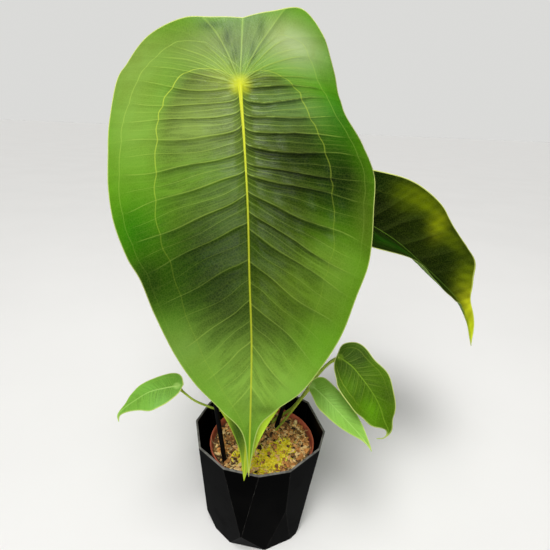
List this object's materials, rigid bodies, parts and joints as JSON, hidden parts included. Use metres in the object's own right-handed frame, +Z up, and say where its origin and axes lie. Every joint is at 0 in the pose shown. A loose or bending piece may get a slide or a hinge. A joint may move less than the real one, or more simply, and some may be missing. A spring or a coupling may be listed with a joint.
{
  "type": "potted anthurium peltigerum",
  "caption": "House plant with large peltate leaves and small young ones on thin petioles, with two stakes, in a thin nursery pot inside a faceted black cachepot.",
  "frame": {"origin": "on the table under the middle of the cachepot, at the underside of its floor", "axes": "+Z up; +X to the viewer's right; -Y towards the viewer, where the main leaf faces"},
  "size_m": [0.4114, 0.2253, 0.5634],
  "materials": {
    "cachepot": "black plastic, satin",
    "nursery_pot": "terracotta coloured thin plastic, matt",
    "substrate": "bark chips, peat and moss, rough",
    "stem": "short thick stem with dry leaf scars, matt",
    "stake": "black coated rod, satin",
    "petiole": "smooth green leaf stalk",
    "leaf_main": "leathery leaf, satin, sunken side veins",
    "leaf_behind": "leathery leaf, satin",
    "leaf_right": "leathery leaf, satin, lit through at the side veins",
    "leaf_small": "leathery leaf, satin",
    "leaf_young": "soft young leaf, milky green"
  },
  "bodies": {
    "root": {"cachepot": "cachepot", "nursery_pot": "nursery_pot", "substrate": "substrate", "stem": "stem", "stake_left": "stake", "stake_right": "stake", "petiole_main": "petiole", "blade_main": "leaf_main", "petiole_behind": "petiole", "blade_behind": "leaf_behind", "petiole_right": "petiole", "blade_right": "leaf_right", "petiole_small_left": "petiole", "blade_small_left": "leaf_young", "petiole_small_upper": "petiole", "blade_small_upper": "leaf_small", "petiole_small_lower": "petiole", "blade_small_lower": "leaf_young"}
  },
  "joints": []
}
